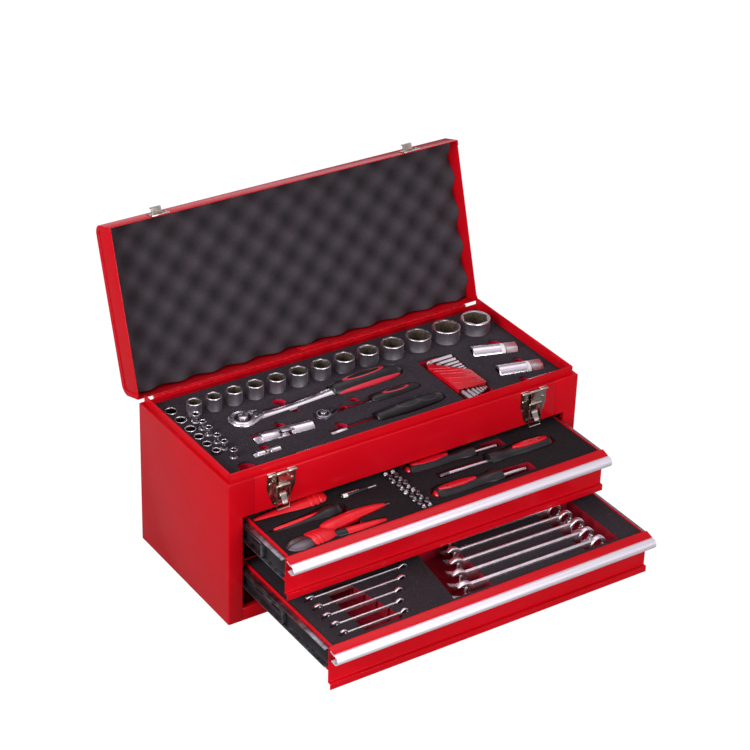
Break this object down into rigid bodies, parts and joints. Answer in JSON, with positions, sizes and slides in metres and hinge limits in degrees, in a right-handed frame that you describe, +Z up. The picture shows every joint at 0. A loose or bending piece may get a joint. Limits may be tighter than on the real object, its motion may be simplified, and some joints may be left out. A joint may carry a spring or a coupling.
{
  "type": "toolbox with drawers",
  "caption": "Red steel tool chest with a hinged foam-lined lid, a fitted tool tray, sliding foam-lined drawers, draw latches and a folding carry handle.",
  "frame": {"origin": "middle of the cabinet's underside", "axes": "+X to the right along the front, +Y from the front to the back, +Z up"},
  "size_m": [0.54, 0.5538, 0.4386],
  "materials": {
    "red_enamel": "gloss red enamel on sheet steel",
    "trim_aluminium": "satin anodised",
    "zinc_slides": "bright zinc plate",
    "nickel_latches": "nickel plate",
    "lid_foam": "soft open-cell foam",
    "dark_foam": "closed-cell foam, dark grey",
    "red_foam": "closed-cell foam, red",
    "chrome_tools": "satin chrome",
    "dark_steel": "blackened steel",
    "grip_black": "soft black grip",
    "grip_red": "dipped red vinyl",
    "clip_red": "moulded red plastic",
    "handle_black": "black plastic grip on steel wire"
  },
  "bodies": {
    "cabinet": {"left_side_panel": "red_enamel", "right_side_panel": "red_enamel", "front_fascia": "red_enamel", "back_panel": "red_enamel", "bottom_panel": "red_enamel", "tray_pan": "red_enamel", "slide_posts": "zinc_slides", "slide_cabinet_rails": "zinc_slides", "hinge_body_leaf": "red_enamel", "hinge_pin": "zinc_slides", "latch_base_left": "nickel_latches", "latch_base_right": "nickel_latches", "latch_rivets": "nickel_latches", "tray_foam_base": "red_foam", "tray_foam": "dark_foam", "drive_sockets": "chrome_tools", "single_drive_socket": "chrome_tools", "column_sockets": "chrome_tools", "small_sockets": "chrome_tools", "large_ratchet": "chrome_tools", "small_ratchet": "chrome_tools", "tool_grips": "grip_black", "drive_adapters": "chrome_tools", "spark_plug_sockets": "chrome_tools", "hex_keys": "chrome_tools", "hex_key_holder": "clip_red"},
    "lid": {"lid_wrapper": "red_enamel", "lid_end_caps": "red_enamel", "hinge_lid_leaf": "red_enamel", "lid_foam": "lid_foam", "lid_keepers": "nickel_latches", "handle_brackets": "nickel_latches"},
    "carry_handle": {"carry_handle": "handle_black"},
    "upper_drawer": {"upper_drawer_box": "red_enamel", "upper_drawer_front": "red_enamel", "upper_drawer_trim": "trim_aluminium", "upper_drawer_rails": "zinc_slides", "upper_drawer_foam_base": "red_foam", "upper_drawer_foam": "dark_foam", "pliers": "dark_steel", "pliers_grips": "grip_red", "screwdriver_handles": "grip_black", "screwdriver_shafts": "chrome_tools", "screwdriver_bits": "chrome_tools", "voltage_tester": "chrome_tools"},
    "lower_drawer": {"lower_drawer_box": "red_enamel", "lower_drawer_front": "red_enamel", "lower_drawer_trim": "trim_aluminium", "lower_drawer_rails": "zinc_slides", "lower_drawer_foam_base": "red_foam", "lower_drawer_foam": "dark_foam", "small_wrenches": "chrome_tools", "large_wrenches": "chrome_tools"},
    "upper_middle_rails": {"upper_slide_middle_rails": "zinc_slides"},
    "lower_middle_rails": {"lower_slide_middle_rails": "zinc_slides"},
    "left_lever": {"latch_lever_left": "nickel_latches"},
    "right_lever": {"latch_lever_right": "nickel_latches"},
    "left_bail": {"latch_bail_left": "nickel_latches"},
    "right_bail": {"latch_bail_right": "nickel_latches"}
  },
  "joints": [
    {"name": "lid_hinge", "type": "hinge", "parent": "cabinet", "child": "lid", "pos_m": [0, 0.1174, 0.2115], "axis": [-1, 0, 0], "range_deg": [-107, 0]},
    {"name": "left_lever_pivot", "type": "hinge", "parent": "cabinet", "child": "left_lever", "pos_m": [-0.1945, -0.1186, 0.2082], "axis": [1, 0, 0], "range_deg": [-95, 0]},
    {"name": "left_bail_pivot", "type": "hinge", "parent": "left_lever", "child": "left_bail", "pos_m": [-0.1945, -0.1217, 0.192], "axis": [-1, 0, 0], "range_deg": [0, 180]},
    {"name": "right_lever_pivot", "type": "hinge", "parent": "cabinet", "child": "right_lever", "pos_m": [0.1954, -0.1186, 0.2082], "axis": [1, 0, 0], "range_deg": [-95, 0]},
    {"name": "right_bail_pivot", "type": "hinge", "parent": "right_lever", "child": "right_bail", "pos_m": [0.1954, -0.1217, 0.192], "axis": [-1, 0, 0], "range_deg": [0, 180]},
    {"name": "upper_drawer_slide", "type": "slide", "parent": "cabinet", "child": "upper_drawer", "axis": [0, -1, 0], "range_m": [-0.0944, 0.1106]},
    {"name": "upper_middle_slide", "type": "slide", "parent": "cabinet", "child": "upper_middle_rails", "axis": [0, -1, 0], "range_m": [-0.0472, 0.0553]},
    {"name": "lower_drawer_slide", "type": "slide", "parent": "cabinet", "child": "lower_drawer", "axis": [0, -1, 0], "range_m": [-0.196, 0.009]},
    {"name": "lower_middle_slide", "type": "slide", "parent": "cabinet", "child": "lower_middle_rails", "axis": [0, -1, 0], "range_m": [-0.098, 0.0045]},
    {"name": "handle_pivot", "type": "hinge", "parent": "lid", "child": "carry_handle", "pos_m": [0, 0.20203, 0.30839], "axis": [1, 0, 0], "range_deg": [-15, 88]}
  ],
  "couplings": [
    {"joint": "upper_middle_slide", "follows": "upper_drawer_slide", "ratio": 0.5},
    {"joint": "lower_middle_slide", "follows": "lower_drawer_slide", "ratio": 0.5}
  ]
}
